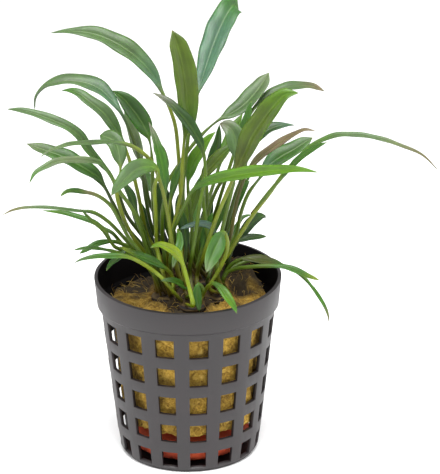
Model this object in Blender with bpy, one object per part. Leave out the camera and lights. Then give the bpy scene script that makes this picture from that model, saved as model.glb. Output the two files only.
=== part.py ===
"""A potted cryptocoryne: a black net pot with a clay ring, a plug of mineral wool and its leaves.

Sizes are in millimetres and become metres as each mesh is made. The origin is the centre of the
pot's underside, +Z is up, and the front of the plant faces -Y.
"""
import math
from collections import namedtuple

import bmesh
import bpy
import numpy as np
from mathutils import Vector
from mathutils.kdtree import KDTree

MM = 0.001
GAP = 0.3                    # clear space kept between pieces that touch

# Net pot: a tapered tub of one wall thickness, 54 mm across its collar
WALL = 1.0
POT_HEIGHT = 51.4
COLLAR_TOP_RADIUS = 27.0
COLLAR_FOOT_RADIUS = 26.3
COLLAR_FOOT_HEIGHT = 45.2
COLLAR_SLANT = 4.0           # how much higher the collar stands at the rear than at the front
WALL_TOP_RADIUS = 25.3
WALL_TOP_HEIGHT = 44.4
WALL_SLOPE = 0.108           # radius gained per millimetre of height
FOOT_HEIGHT = 1.5            # lower edge of the bottom windows
FOOT_ROUNDING = 1.0          # how far the edge of the floor is turned in
FLOOR_HUB_RADIUS = 6.0       # solid middle of the floor
FLOOR_SLOT_OUTER_RADIUS = 13.5
COLUMNS = 16
FIRST_COLUMN = 6.7           # degrees to the right of the front
WINDOW_HALF_ANGLE = 6.3      # degrees
WINDOW_ROWS = 5
WINDOW_HEIGHT = 5.6
ROW_PITCH = 9.0
TOP_WINDOW_HEIGHT = 42.6     # upper edge of the top row

# Clay ring lying on the floor of the pot
RING_OUTER_RADIUS = 17.8
RING_HALF_WIDTH = 4.4
RING_HALF_HEIGHT = 4.6
RING_SQUARENESS = 0.75       # below 1 flattens the sides of its round section
RING_CORNERS = 8             # points round the section
RING_STEPS = 32

# Plug of mineral wool, set a little to the right so that daylight shows past it on the left
WOOL_SHIFT = 0.5
WOOL_FOOT_RADIUS = 19.9
WOOL_TOP_RADIUS = 23.0
WOOL_TOP_HEIGHT = 46.4
WOOL_WAVE = 0.7              # rise and fall of its top
WOOL_HEAP = (15.5, 13.5)     # place of the heap at its right rear
WOOL_HEAP_HEIGHT = 6.8
WOOL_HEAP_SPREAD = 7.0
WOOL_INSETS = (5.0, 6.0, 6.0)    # steps inwards between the circles of points on its top
WOOL_STEPS = 32

# Crowns: the short thick stem of each plantlet, standing on the wool
CROWN_RADIUS = 4.3
CROWN_HEIGHT = 2.0
CROWN_TAPER = 0.9            # radius of a crown's foot as a share of its shoulder's
CROWN_SHOULDER = 0.6         # rounding of its upper edge
CROWN_STEPS = 14
BASE_TURN = 137.5            # degrees round the crown from one leaf base to the next
SLOT_GAP = 0.55              # leaves lean, so their feet stand a little clear of the crown
SLOTS_IN_ROW = 4             # leaf bases side by side across a crown
CROWNS = {"front": (1.0, -11.2), "left": (-6.4, -5.0), "right": (8.4, -4.5), "rear_left": (-4.6, 6.2),
          "rear": (5.2, 5.8)}

# Leaves
STALK_WIDTH = 1.15
STALK_FOOT_WIDTH = 1.35
LEAF_THICKNESS = 0.55
LEAF_FOLD = 0.16             # how far the midrib lies below the edges, as a share of the width
STALK_DEPTH = 0.9            # thickness of a stalk as a share of its width
FOOT_FLARE = 4.0             # larger ends the wider foot of the stalk sooner
STALK_FADE = 3.0             # larger lets the blade narrow the stalk's width sooner
RIB_FADE = 6.0               # larger thins the blade down sooner above its foot
THINNEST = 0.3               # least thickness, at the tip
ROUTE_FOOT = 12.0            # length in pixels of the stretch below the first pixel of a route
STALK_RINGS = 6
BLADE_RINGS = 8
CLEARANCE = 1.6              # kept between the midlines of two leaves that pass each other
SAMPLE_SPACING = 1.2
MIDLINE_POINTS = 80
EASE_LENGTH = 16.0           # stretch of stalk over which a leaf bends clear of another
FREE_FOOT = 3.0              # length above the crown over which a stalk starts to give way
EASE_ROUNDS = 60
EASE_SHARE = 0.3             # part of the missing clearance that each leaf gives in a round
FRONT_DOUBT = 0.4            # depth below which the order of the list settles which is in front

# The leaves were laid out in the picture of the plant, 440 by 474 pixels, which was taken from
# half a metre away. These place its eye, and turn a pixel and a depth into a point.
EYE_DISTANCE = 500.0
EYE_TARGET = Vector((0.0, 0.0, 60.0))
EYE_PITCH = math.radians(19.44)
EYE_PAN = math.radians(1.07)
EYE_TILT = math.radians(0.50)
EYE_ROLL = math.radians(-0.58)
EYE_PIXELS = 1741.0          # focal length in pixels
PICTURE_CENTRE = (220.0, 237.0)

# One leaf: the crown it grows from, the pixels that its midrib passes, the number of those
# before the blade starts, the blade's width, how far its face turns away from the eye at the
# blade's foot and tip (degrees, positive leans it back), its depth at the blade's foot and tip, and
# the outline of its blade.
Leaf = namedtuple("Leaf", "crown route stalk width turn depth shape", defaults=["lance"])

# Outlines of blades: how soon they widen above the foot (smaller is sooner), and how long the tip is
# drawn out (larger is longer)
SHAPES = {"lance": (0.58, 0.85), "broad": (0.55, 0.62), "blunt": (0.5, 0.42), "drawn": (0.9, 1.25),
          "paddle": (0.65, 0.42)}

# From the nearest leaf to the farthest, so that each passes behind those before it
LEAVES = [
    Leaf("front", [(203, 290), (198.5, 284), (197, 292), (198, 303), (199.5, 312)], 1, 2.6, (20, 15),
                   (-17.5, -23)),
    Leaf("front", [(202, 298), (206, 289), (213, 283), (220, 287), (228, 298), (234, 307), (237, 314)],
                   2, 2.6, (30, 10), (-19, -30.5)),
    Leaf("front", [(192, 302), (190, 291), (186, 275), (182, 262), (176, 253), (166, 247), (158, 245),
                   (150, 248)], 3, 2.9, (10, 45), (-21, -30)),
    Leaf("front", [(183, 303), (173, 291), (163, 279), (151, 269), (136, 260), (128, 257), (113, 256),
                   (98, 256.5), (80, 260), (73, 263.5)], 4, 2, (40, 35), (-19, -26)),
    Leaf("right", [(210, 286), (216, 275), (223, 262), (227, 250), (227, 238), (223, 232), (219, 240),
                   (214, 251), (209, 263), (206, 273)], 5, 4.9, (-10, -25), (-19, -30)),
    Leaf("front", [(192, 293), (189, 289), (184, 286), (177, 282), (168, 280), (160, 281)], 1, 2.2,
                   (30, 30), (-15, -18)),
    Leaf("left", [(172, 276), (165, 268), (150, 260), (135, 254), (126, 250), (119, 246)], 1, 2.9,
                  (35, 40), (-13, -19)),
    Leaf("left", [(158, 255), (156, 226), (155, 196), (154.5, 178), (157, 169), (150, 166), (138, 168),
                  (127, 177), (118, 187), (111, 196)], 4, 5, (15, 25), (-22, -38)),
    Leaf("left", [(148, 262), (134, 246), (125, 231), (118, 218), (110, 205), (102, 197.3), (92, 193.5),
                  (84, 192), (74, 191), (66, 192), (60, 197)], 6, 1.9, (40, 40), (-20, -26), "broad"),
    Leaf("left", [(146, 262), (136, 258), (126, 250), (122, 254), (118, 258), (111, 264), (106, 271)],
                  2, 2.3, (45, 30), (-17, -24)),
    Leaf("front", [(176, 262), (165, 200), (161, 185), (157, 177.5), (152, 162.5), (143, 153.5),
                   (132, 147), (124, 143.5), (103, 142), (88, 143), (70, 144), (57, 148), (46, 152.5),
                   (39, 158)], 7, 1.7, (35, 40), (-27, -42)),
    Leaf("left", [(150, 258), (140, 228), (130, 205), (121, 193), (113.5, 183), (107, 170), (101, 163),
                  (90, 160.5), (75, 160), (58, 161), (44, 167.5), (33, 175), (29, 184)], 5, 2.2,
                  (30, 30), (-24, -37), "broad"),
    Leaf("left", [(146, 264), (140, 256), (127, 241.5), (121, 234.5), (113, 226), (101, 216), (92, 212),
                  (76, 210.5), (57, 208.3), (35, 207.3), (19, 208.5), (8, 212), (1.5, 215.5)], 6, 1.3,
                  (40, 40), (-14, -16), "broad"),
    Leaf("left", [(171, 270), (171, 252), (173, 232), (178, 219), (184, 207), (190, 197), (195, 188),
                  (205, 182.5), (220, 178), (240, 174), (262, 171.3), (285, 169.8), (303, 170),
                  (319, 172.5)], 6, 4.1, (35, 35), (-20, -38)),
    Leaf("left", [(150, 262), (133, 237), (122, 214), (117, 197), (117, 185), (119.5, 174),
                  (120.5, 164), (119, 154), (117, 145), (113.5, 140), (107.5, 137), (99.5, 135.5)], 6,
                  5, (5, 30), (-13, -8), "blunt"),
    Leaf("front", [(196, 285), (198, 272), (201.7, 261), (207.4, 243.6), (213, 227), (218, 214),
                   (223.5, 201), (229.5, 187), (235.5, 173), (244, 153.5), (250.5, 138), (261, 121.5),
                   (271, 108), (282.5, 96.5), (292, 91.5), (299, 93)], 8, 6.6, (28, 28), (-17, -20),
                   "broad"),
    Leaf("right", [(216, 262), (224, 222), (232, 188), (236, 167), (236, 157), (236.3, 148),
                   (235.5, 139.5), (233, 131.5), (228, 126), (219.5, 123.5)], 4, 5.2, (0, 20),
                   (-12, -8), "broad"),
    Leaf("left", [(166, 266), (163, 245), (162, 222), (163, 205), (165, 192), (164.5, 180),
                  (162.5, 168), (159, 152), (154.5, 137), (148.5, 121.5)], 4, 3.8, (35, 45), (-14, -9)),
    Leaf("rear_left", [(175, 262), (172, 238), (169, 215), (171, 198), (174, 185), (179, 170),
                       (184, 157)], 3, 2.4, (20, 30), (-6, -4)),
    Leaf("left", [(154, 262), (141, 250), (121, 244), (114, 241.5), (107, 241.5), (97, 244), (88, 249),
                  (79, 254)], 3, 2.1, (35, 30), (-10, -13), "broad"),
    Leaf("left", [(152, 262), (130, 251), (120, 241.5), (111, 232), (102.5, 228), (92, 221.5),
                  (76, 216.5), (60, 212.5), (41.5, 210.5)], 3, 2.1, (40, 45), (-8, -4)),
    Leaf("rear_left", [(154, 262), (146, 240), (140.5, 221), (136, 212), (133.5, 204), (130.5, 195),
                       (126, 187), (122, 179)], 3, 2.8, (30, 30), (-7, -5)),
    Leaf("front", [(190, 275), (196, 232), (201, 197), (205, 178), (205.5, 162), (203, 151), (199, 140),
                   (195, 133), (186, 120), (175, 108), (164, 98.5), (152, 92.5)], 5, 3.8, (25, 45),
                   (-10, -6)),
    Leaf("right", [(208, 285), (216, 252), (216, 236), (210, 227), (200, 224.5), (190, 226),
                   (179, 230)], 2, 3.8, (55, 60), (-9, -13)),
    Leaf("rear_left", [(157, 266), (147.5, 250), (136, 238), (124, 224), (116, 209), (110, 198),
                       (104, 186), (98, 177), (85, 168), (65, 157), (45, 150), (26, 143.5)], 6, 5.2,
                       (35, 40), (-7, -3), "broad"),
    Leaf("left", [(169, 275), (168, 262), (171, 237), (177, 212), (182, 185), (182.5, 165), (183, 148),
                  (185, 135), (188, 122), (188, 110), (187, 95), (185, 75), (179.5, 50), (172, 30)], 7,
                  6.7, (18, 22), (-8, -2), "blunt"),
    Leaf("right", [(216, 280), (228, 255), (237, 239), (246, 226), (255, 212), (263, 202), (272, 190),
                   (284, 173), (292, 165), (306, 150), (318, 142.5), (330, 137), (345, 134),
                   (361, 135.5), (384, 139.7), (414, 151.2), (433, 161.5), (438.5, 170.5)], 7, 2,
                   (45, 40), (-16, -26)),
    Leaf("right", [(222, 278), (235, 269), (248, 267), (262, 266), (272, 266), (285, 267), (297, 271),
                   (308, 276), (320, 280.5)], 4, 2.2, (40, 35), (-10, -12), "broad"),
    Leaf("right", [(224, 276), (232, 264), (242, 259), (250, 258.5), (265, 260.5), (275, 262),
                   (284, 264.5)], 2, 3.4, (45, 40), (-5, -3)),
    Leaf("rear_left", [(160, 262), (146, 240), (131, 222), (122, 205), (117, 190), (110, 174),
                       (102, 164), (97, 160), (90, 152), (82, 139), (72, 129), (50, 119), (25, 111),
                       (6, 109)], 5, 3.4, (30, 40), (-4, 0), "broad"),
    Leaf("right", [(220, 262), (230, 238), (234.5, 212), (240, 190), (247, 173), (257, 160),
                   (270, 149.5), (283, 141), (296, 133.5), (306, 129.5), (316, 131)], 4, 3, (45, 45),
                   (-6, -12)),
    Leaf("right", [(221, 265), (234, 242), (238.5, 224), (242, 209), (247.5, 195), (255, 184),
                   (262, 175), (269, 165), (280, 156.5), (293, 149.5), (304, 142.5), (313, 137.5)], 6,
                   5.8, (35, 35), (-3, 2), "broad"),
    Leaf("rear_left", [(164, 262), (155, 252), (146, 230), (141, 208), (136, 185), (130, 162),
                       (125.5, 148), (121, 138), (116.5, 130), (105, 113.5), (90, 101.5), (77.5, 92.5),
                       (70, 90.5), (61, 90.5)], 7, 4.6, (30, 45), (-2, 3)),
    Leaf("rear_left", [(170, 262), (160, 245), (150, 222), (146, 200), (142.5, 175), (137, 150),
                       (131, 135), (125, 122), (120, 111), (111.5, 99.5), (98, 87), (80, 81), (62, 81),
                       (45, 86), (36, 95.5), (34.5, 110)], 8, 6.2, (30, 85), (0, 6), "drawn"),
    Leaf("rear_left", [(168, 255), (158, 235), (152.5, 201), (152.8, 175), (151, 151), (148.5, 137),
                       (143.5, 125), (137, 114.5), (130, 105.5), (122, 97), (111.5, 90.5)], 5, 5.9,
                       (20, 25), (2, 5)),
    Leaf("right", [(210, 258), (206, 225), (203, 195), (203, 178), (211, 166), (220, 156), (229, 148),
                   (236, 142)], 3, 4.3, (30, 35), (1, 4)),
    Leaf("rear", [(193, 255), (192, 225), (189, 200), (188, 181), (193, 163), (201, 149), (209, 138),
                  (216, 131.5)], 3, 4.2, (25, 35), (2, 5)),
    Leaf("right", [(228, 262), (232, 249), (238, 239), (245, 231), (253, 222.5), (260, 216),
                   (265.5, 215)], 2, 4.8, (45, 50), (4, 14), "blunt"),
    Leaf("right", [(230, 268), (246, 262), (262, 260), (278, 264), (290, 268), (298, 273), (305, 278.5),
                   (312, 287), (319, 297), (325, 307), (328.5, 317), (329, 324)], 6, 1.3, (35, 20),
                   (-4, -10)),
    Leaf("rear_left", [(186, 262), (183, 232), (181, 200), (179.5, 175), (178, 150), (175.5, 128),
                       (171.5, 111), (167, 100), (161, 90), (152.5, 74), (138.5, 58), (115.5, 42),
                       (90, 32.5), (66, 31.3), (50, 33)], 8, 6.2, (30, 42), (8, 14), "drawn"),
    Leaf("rear", [(190, 262), (186, 235), (184, 210), (183, 185), (185, 165), (187, 148), (189, 137),
                  (190.5, 122), (194.5, 104), (198.5, 90), (204, 72), (211, 50), (220, 27), (229, 10),
                  (234, 4), (237, 6), (239, 13)], 9, 7.6, (18, 24), (9, 30), "paddle"),
    Leaf("right", [(214, 258), (224, 236), (230, 213), (236, 193), (242.5, 177), (246, 161), (250, 149),
                   (258, 138), (270, 128.5), (284, 125), (295.5, 125.3)], 6, 4, (40, 45), (6, 10),
                   "drawn"),
    Leaf("rear", [(196, 255), (205, 225), (214, 195), (224, 178), (234, 168), (243, 146), (245, 130),
                  (248, 115), (252, 100)], 4, 3.9, (25, 30), (10, 16)),
    Leaf("rear_left", [(172, 255), (162, 232), (156, 214), (148.7, 201), (146, 186), (141, 162),
                       (138, 151), (134, 138), (129, 124), (124, 110)], 5, 4, (30, 35), (12, 16)),
    Leaf("rear", [(176, 250), (167, 228), (162, 207), (165.5, 186), (173.5, 174), (181, 161),
                  (190, 149.5), (199, 137.5), (209, 125), (222, 118), (233, 112), (244, 104),
                  (254, 93.5), (263, 82), (269, 72.5)], 9, 5.8, (30, 35), (16, 24), "blunt"),
    Leaf("rear", [(200, 252), (206, 225), (207, 200), (207, 176), (213, 158), (218, 142), (219.5, 124)],
                  3, 3.4, (25, 30), (14, 18)),
    Leaf("rear", [(200, 258), (212, 222), (224, 185), (236, 148), (246, 122), (255, 107), (263, 99),
                  (273, 92), (284, 87.5), (295, 86), (306, 85.5), (315, 87), (325, 91.5)], 5, 3.9,
                  (50, 50), (20, 28), "broad"),
    Leaf("rear", [(196, 248), (204, 215), (213, 186), (221, 161), (229, 141), (236, 125), (243, 113)],
                  3, 3.8, (25, 30), (21, 31)),
    Leaf("rear", [(204, 245), (221, 212), (232, 184), (241, 160), (249, 141), (257, 127), (264, 119)],
                  3, 4, (30, 35), (26, 46)),
    Leaf("rear_left", [(176, 245), (170, 216), (166, 191), (164, 173), (161.5, 158), (158, 147),
                       (154, 139)], 3, 4.4, (30, 35), (26, 42)),
    Leaf("rear", [(190, 245), (194, 224), (197, 205), (201, 188), (207, 172), (213, 159), (217.5, 150)],
                  1, 4.2, (20, 25), (30, 54)),
    Leaf("rear_left", [(180, 245), (170, 226), (161, 208), (155, 194), (149, 182), (143, 174),
                       (137, 171)], 3, 4.6, (25, 30), (28, 48)),
]


def eye():
    """Place and axes of the eye: where it is, and its right, up and forward directions."""
    back = Vector((0.0, -math.cos(EYE_PITCH), math.sin(EYE_PITCH)))
    right = Vector((1.0, 0.0, 0.0))
    ahead = -back
    up = right.cross(ahead)
    panned = math.cos(EYE_PAN) * ahead + math.sin(EYE_PAN) * right
    right = math.cos(EYE_PAN) * right - math.sin(EYE_PAN) * ahead
    ahead = math.cos(EYE_TILT) * panned + math.sin(EYE_TILT) * up
    up = math.cos(EYE_TILT) * up - math.sin(EYE_TILT) * panned
    level = math.cos(EYE_ROLL) * right + math.sin(EYE_ROLL) * up
    upright = math.cos(EYE_ROLL) * up - math.sin(EYE_ROLL) * right
    return EYE_TARGET + EYE_DISTANCE * back, level, upright, ahead


def at_pixel(pixel, depth):
    """The point that shows at a pixel and lies at y = depth."""
    place, right, up, ahead = eye()
    across = float(pixel[0] - PICTURE_CENTRE[0]) / EYE_PIXELS
    above = float(PICTURE_CENTRE[1] - pixel[1]) / EYE_PIXELS
    ray = ahead + across * right + above * up
    return place + ray * ((depth - place.y) / ray.y)


def material(name, colour, roughness):
    """A plain Principled material."""
    made = bpy.data.materials.new(name)
    made.use_nodes = True
    shader = made.node_tree.nodes["Principled BSDF"]
    shader.inputs["Base Color"].default_value = (*colour, 1.0)
    shader.inputs["Roughness"].default_value = roughness
    made.diffuse_color = (*colour, 1.0)
    return made


def add_object(name, mesh_data, finish, smooth_below=40.0):
    """Turns a bmesh in millimetres into a named object in metres."""
    bmesh.ops.scale(mesh_data, vec=(MM, MM, MM), verts=mesh_data.verts)
    mesh = bpy.data.meshes.new(name)
    mesh_data.to_mesh(mesh)
    mesh_data.free()
    mesh.shade_smooth()
    mesh.set_sharp_from_angle(angle=math.radians(smooth_below))
    mesh.materials.append(finish)
    made = bpy.data.objects.new(name, mesh)
    bpy.context.scene.collection.objects.link(made)
    return made


def wall_radius(height):
    """Outer radius of the tapered wall."""
    return WALL_TOP_RADIUS - WALL_SLOPE * (WALL_TOP_HEIGHT - height)


def pot_profile():
    """Outer line of the pot from the rim to the middle of the floor: radius, height and kind."""
    line = [(COLLAR_TOP_RADIUS, POT_HEIGHT, "solid"), (COLLAR_FOOT_RADIUS, COLLAR_FOOT_HEIGHT, "solid"),
            (WALL_TOP_RADIUS, WALL_TOP_HEIGHT, "solid")]
    for row in range(WINDOW_ROWS):
        top = TOP_WINDOW_HEIGHT - row * ROW_PITCH
        line.append((wall_radius(top), top, "window"))
        line.append((wall_radius(top - WINDOW_HEIGHT), top - WINDOW_HEIGHT, "solid"))
    line[-1] = (wall_radius(0.0), FOOT_HEIGHT, "solid")
    line.append((wall_radius(0.0) - FOOT_ROUNDING, 0.0, "solid"))
    line.append((FLOOR_SLOT_OUTER_RADIUS, 0.0, "slot"))
    line.append((FLOOR_HUB_RADIUS, 0.0, "solid"))
    line.append((0.0, 0.0, "solid"))
    return line


def pot_angles():
    """Both edges of every column of windows, in degrees from the front."""
    angles = []
    for column in range(COLUMNS):
        middle = FIRST_COLUMN + column * 360.0 / COLUMNS
        angles += [middle - WINDOW_HALF_ANGLE, middle + WINDOW_HALF_ANGLE]
    return angles


def around(radius, degrees, height):
    """A point on a circle round the axis, counted from the front towards the right."""
    angle = math.radians(degrees)
    return Vector((radius * math.sin(angle), -radius * math.cos(angle), height))


def slant_collar(tub):
    """Draws the collar out upwards, from nothing at the front to its full slant at the rear."""
    for vert in tub.verts:
        share = (vert.co.z - COLLAR_FOOT_HEIGHT) / (POT_HEIGHT - COLLAR_FOOT_HEIGHT)
        vert.co.z += COLLAR_SLANT * max(share, 0.0) * (0.5 + 0.5 * vert.co.y / COLLAR_TOP_RADIUS)


def build_pot(finish):
    """One sheet folded into the tub, its windows taken out, then thickened inwards."""
    sheet = bmesh.new()
    profile = pot_profile()
    angles = pot_angles()
    rows = [[sheet.verts.new(around(r, a, z)) for a in angles] for r, z, _ in profile[:-1]]
    hub = sheet.verts.new((0.0, 0.0, 0.0))
    count = len(angles)
    for level, (_, _, kind) in enumerate(profile[:-1]):
        for step in range(count):
            following = (step + 1) % count
            upper = rows[level][step], rows[level][following]
            if level == len(rows) - 1:
                sheet.faces.new((upper[0], hub, upper[1]))
            elif kind == "solid" or step % 2 == 1:
                sheet.faces.new((upper[0], rows[level + 1][step], rows[level + 1][following], upper[1]))
    bmesh.ops.recalc_face_normals(sheet, faces=sheet.faces)
    bmesh.ops.solidify(sheet, geom=sheet.faces[:], thickness=WALL)
    bmesh.ops.recalc_face_normals(sheet, faces=sheet.faces)
    slant_collar(sheet)
    return add_object("pot", sheet, finish)


def build_ring(finish):
    """The clay ring: a round section with flattened sides, spun round the axis."""
    ring = bmesh.new()
    middle = RING_OUTER_RADIUS - RING_HALF_WIDTH
    centre_height = WALL + GAP + RING_HALF_HEIGHT
    section = []
    for step in range(RING_CORNERS):
        angle = 2 * math.pi * (step + 0.5) / RING_CORNERS
        out = math.copysign(abs(math.cos(angle)) ** RING_SQUARENESS, math.cos(angle))
        rise = math.copysign(abs(math.sin(angle)) ** RING_SQUARENESS, math.sin(angle))
        section.append(ring.verts.new((middle + RING_HALF_WIDTH * out, 0.0,
                                       centre_height + RING_HALF_HEIGHT * rise)))
    edges = [ring.edges.new(ends) for ends in zip(section, section[1:] + section[:1])]
    bmesh.ops.spin(ring, geom=section + edges, cent=(0, 0, 0), axis=(0, 0, 1), angle=2 * math.pi,
                   steps=RING_STEPS, use_merge=True)
    bmesh.ops.recalc_face_normals(ring, faces=ring.faces)
    return add_object("clay_ring", ring, finish)


def wool_height(x, y):
    """Height of the plug's uneven top, with a heap at its right rear."""
    wave = WOOL_WAVE * math.sin(0.31 * x + 0.6) * math.cos(0.27 * y)
    from_heap = math.hypot(x - WOOL_HEAP[0], y - WOOL_HEAP[1]) / WOOL_HEAP_SPREAD
    return WOOL_TOP_HEIGHT + wave + WOOL_HEAP_HEIGHT * math.exp(-from_heap ** 2)


def build_wool(finish):
    """The plug: a tapered drum with a gently uneven top."""
    wool = bmesh.new()
    foot_height = WALL + GAP + 2 * RING_HALF_HEIGHT + GAP
    bmesh.ops.create_cone(wool, cap_ends=True, segments=WOOL_STEPS, radius1=WOOL_FOOT_RADIUS,
                          radius2=WOOL_TOP_RADIUS, depth=WOOL_TOP_HEIGHT - foot_height)
    bmesh.ops.translate(wool, verts=wool.verts,
                        vec=(WOOL_SHIFT, 0.0, (WOOL_TOP_HEIGHT + foot_height) / 2))
    top = max(wool.faces, key=lambda face: face.calc_center_median().z)
    for thickness in WOOL_INSETS:
        bmesh.ops.inset_region(wool, faces=[top], thickness=thickness)
    bmesh.ops.poke(wool, faces=[top])
    for vert in wool.verts:
        if vert.co.z > WOOL_TOP_HEIGHT - 1:
            vert.co.z = wool_height(vert.co.x, vert.co.y)
    bmesh.ops.recalc_face_normals(wool, faces=wool.faces)
    return add_object("rockwool", wool, finish)


def crown_foot(centre):
    """Lowest height at which a crown clears the wool all round."""
    edge = [wool_height(centre[0] + CROWN_RADIUS * math.cos(a), centre[1] + CROWN_RADIUS * math.sin(a))
            for a in (2 * math.pi * step / 12 for step in range(12))]
    return max(edge + [wool_height(*centre)]) + GAP


def build_crown(name, centre, finish):
    """A squat round stub with rounded shoulders."""
    crown = bmesh.new()
    bmesh.ops.create_cone(crown, cap_ends=True, segments=CROWN_STEPS, radius1=CROWN_RADIUS * CROWN_TAPER,
                          radius2=CROWN_RADIUS, depth=CROWN_HEIGHT)
    shoulder = [edge for edge in crown.edges if all(vert.co.z > 0 for vert in edge.verts)]
    bmesh.ops.bevel(crown, geom=shoulder, offset=CROWN_SHOULDER, offset_type="OFFSET", segments=2,
                    profile=0.5, affect="EDGES", material=-1)
    bmesh.ops.translate(crown, verts=crown.verts,
                        vec=(centre[0], centre[1], crown_foot(centre) + CROWN_HEIGHT / 2))
    return add_object(name, crown, finish)


def crown_slots(centre, count):
    """Places for leaf bases on a crown, spread evenly as in a seed head, the nearest first."""
    turn = math.radians(BASE_TURN)
    reach = CROWN_RADIUS - STALK_FOOT_WIDTH / 2
    height = crown_foot(centre) + CROWN_HEIGHT + SLOT_GAP
    slots = []
    for number in range(count):
        radius = reach * math.sqrt((number + 0.5) / count)
        slots.append(Vector((centre[0] + radius * math.cos(number * turn),
                             centre[1] + radius * math.sin(number * turn), height)))
    return sorted(slots, key=lambda slot: slot.y)


def leaf_bases():
    """A place on its crown for every leaf, so that stalks leave without crossing their neighbours."""
    bases = {}
    for crown, centre in CROWNS.items():
        grown = [number for number, leaf in enumerate(LEAVES) if leaf.crown == crown]
        slots = crown_slots(centre, len(grown))
        for first in range(0, len(grown), SLOTS_IN_ROW):
            row = sorted(grown[first:first + SLOTS_IN_ROW], key=lambda number: heading(LEAVES[number]))
            places = sorted(slots[first:first + SLOTS_IN_ROW], key=lambda slot: slot.x)
            bases.update(zip(row, places))
    return [bases[number] for number in range(len(LEAVES))]


def heading(leaf):
    """How far to the right the lower part of a leaf's stalk leads."""
    return leaf.route[0][0] + leaf.route[1][0]


def smooth_line(points, count):
    """A smooth curve through the points, as count points evenly spaced along it."""
    points = np.array([tuple(point) for point in points])
    steps = np.linalg.norm(np.diff(points, axis=0), axis=1) ** 0.5
    knots = np.concatenate([[0.0], np.cumsum(steps)])
    slopes = np.gradient(points, knots, axis=0)
    fine = []
    for index, span in enumerate(steps):
        t = np.linspace(0.0, 1.0, 12, endpoint=index == len(steps) - 1)[:, None]
        fine.append((2 * t ** 3 - 3 * t ** 2 + 1) * points[index]
                    + (t ** 3 - 2 * t ** 2 + t) * span * slopes[index]
                    + (3 * t ** 2 - 2 * t ** 3) * points[index + 1]
                    + (t ** 3 - t ** 2) * span * slopes[index + 1])
    fine = np.concatenate(fine)
    length = np.concatenate([[0.0], np.cumsum(np.linalg.norm(np.diff(fine, axis=0), axis=1))])
    even = np.linspace(0.0, length[-1], count)
    return np.stack([np.interp(even, length, fine[:, axis]) for axis in range(3)], axis=1)


def leaf_midline(leaf, base, count=MIDLINE_POINTS):
    """The leaf's midline in space, and how far along it the blade starts, from 0 to 1."""
    route = np.array(leaf.route, dtype=float)
    seen = np.concatenate([[0.0], np.cumsum(np.linalg.norm(np.diff(route, axis=0), axis=1))])
    seen = (seen + ROUTE_FOOT) / (seen[-1] + ROUTE_FOOT)
    blade_foot = seen[leaf.stalk]
    slope = (leaf.depth[0] - base.y) / blade_foot
    bend = (leaf.depth[1] - base.y - slope) / (1.0 - blade_foot)
    points = [base]
    for pixel, along in zip(route, seen):
        depth = base.y + slope * along + bend * along * (along - blade_foot)
        points.append(at_pixel(pixel, float(depth)))
    line = smooth_line(points, count)
    start = np.linalg.norm(line - np.array(points[leaf.stalk + 1]), axis=1).argmin()
    return line, start / (count - 1)


def blade_share(shape, along):
    """Width of the blade at a place from its foot (0) to its tip (1), as a share of the widest."""
    swell, taper = SHAPES[shape]
    share = max(along, 0.0) ** swell * max(1.0 - along, 0.0) ** taper
    widest = swell / (swell + taper)
    return share / (widest ** swell * (1.0 - widest) ** taper)


def unit(rows):
    """Rows scaled to a length of one."""
    return rows / np.linalg.norm(rows, axis=-1, keepdims=True)


def leaf_faces(leaf, line, start):
    """Way the upper side faces at each point of the midline: set in the blade, carried down the stalk."""
    ahead = unit(np.gradient(line, axis=0))
    facing = unit(np.array(eye()[0]) - line)
    facing = unit(facing - ahead * (facing * ahead).sum(axis=1)[:, None])
    level = np.cross(ahead, facing)
    foot = round(start * (len(line) - 1))
    if level[foot:, 2].mean() > 0:
        level = -level
    blade = np.clip(np.linspace(-start, 1.0 - start, len(line)) / (1.0 - start), 0.0, 1.0)
    turn = np.radians(leaf.turn[0] + (leaf.turn[1] - leaf.turn[0]) * blade)[:, None]
    faces = np.cos(turn) * facing - np.sin(turn) * level
    for step in range(foot - 1, -1, -1):
        carried = faces[step + 1]
        faces[step] = unit(carried - ahead[step] * carried.dot(ahead[step]))
    return faces


def section_at(leaf, line, faces, start, along):
    """Middle, sideways direction, face direction and width of the leaf at a place along it."""
    place = min(max(along, 0.0), 1.0) * (len(line) - 1)
    low = min(int(place), len(line) - 2)
    middle = line[low] + (line[low + 1] - line[low]) * (place - low)
    ahead = Vector(line[min(low + 2, len(line) - 1)] - line[max(low - 1, 0)]).normalized()
    face = Vector(faces[low] + (faces[low + 1] - faces[low]) * (place - low))
    face = (face - ahead * face.dot(ahead)).normalized()
    width = STALK_WIDTH + (STALK_FOOT_WIDTH - STALK_WIDTH) * max(1.0 - FOOT_FLARE * along, 0.0)
    if along > start:
        blade = min((along - start) / (1.0 - start), 1.0)
        fading = max(1.0 - STALK_FADE * blade, 0.0)
        width = max(leaf.width * blade_share(leaf.shape, blade), width * fading)
    return Vector(middle), ahead.cross(face), face, width


def leaf_ring(leaf, line, faces, start, along):
    """The four corners of the leaf's section: edge, upper side, edge, under side."""
    middle, side, face, width = section_at(leaf, line, faces, start, along)
    sink = LEAF_FOLD * width
    stalk_share = min(STALK_WIDTH / width, 1.0)
    thick = max(LEAF_THICKNESS, STALK_DEPTH * STALK_WIDTH * stalk_share ** 2)
    if along > start:
        thick = LEAF_THICKNESS + (thick - LEAF_THICKNESS) * max(1.0 - RIB_FADE * (along - start), 0.0)
        thick = min(thick, max(width, THINNEST))
    edge = face * sink / 2
    return [middle + side * width / 2 + edge, middle - edge + face * thick / 2,
            middle - side * width / 2 + edge, middle - edge - face * thick / 2]


def ring_places(start):
    """Where along the leaf its rings stand, closer together in the blade."""
    stalk = [start * step / STALK_RINGS for step in range(STALK_RINGS)]
    blade = [start + (1.0 - start) * step / BLADE_RINGS for step in range(BLADE_RINGS)]
    return stalk + blade


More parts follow.
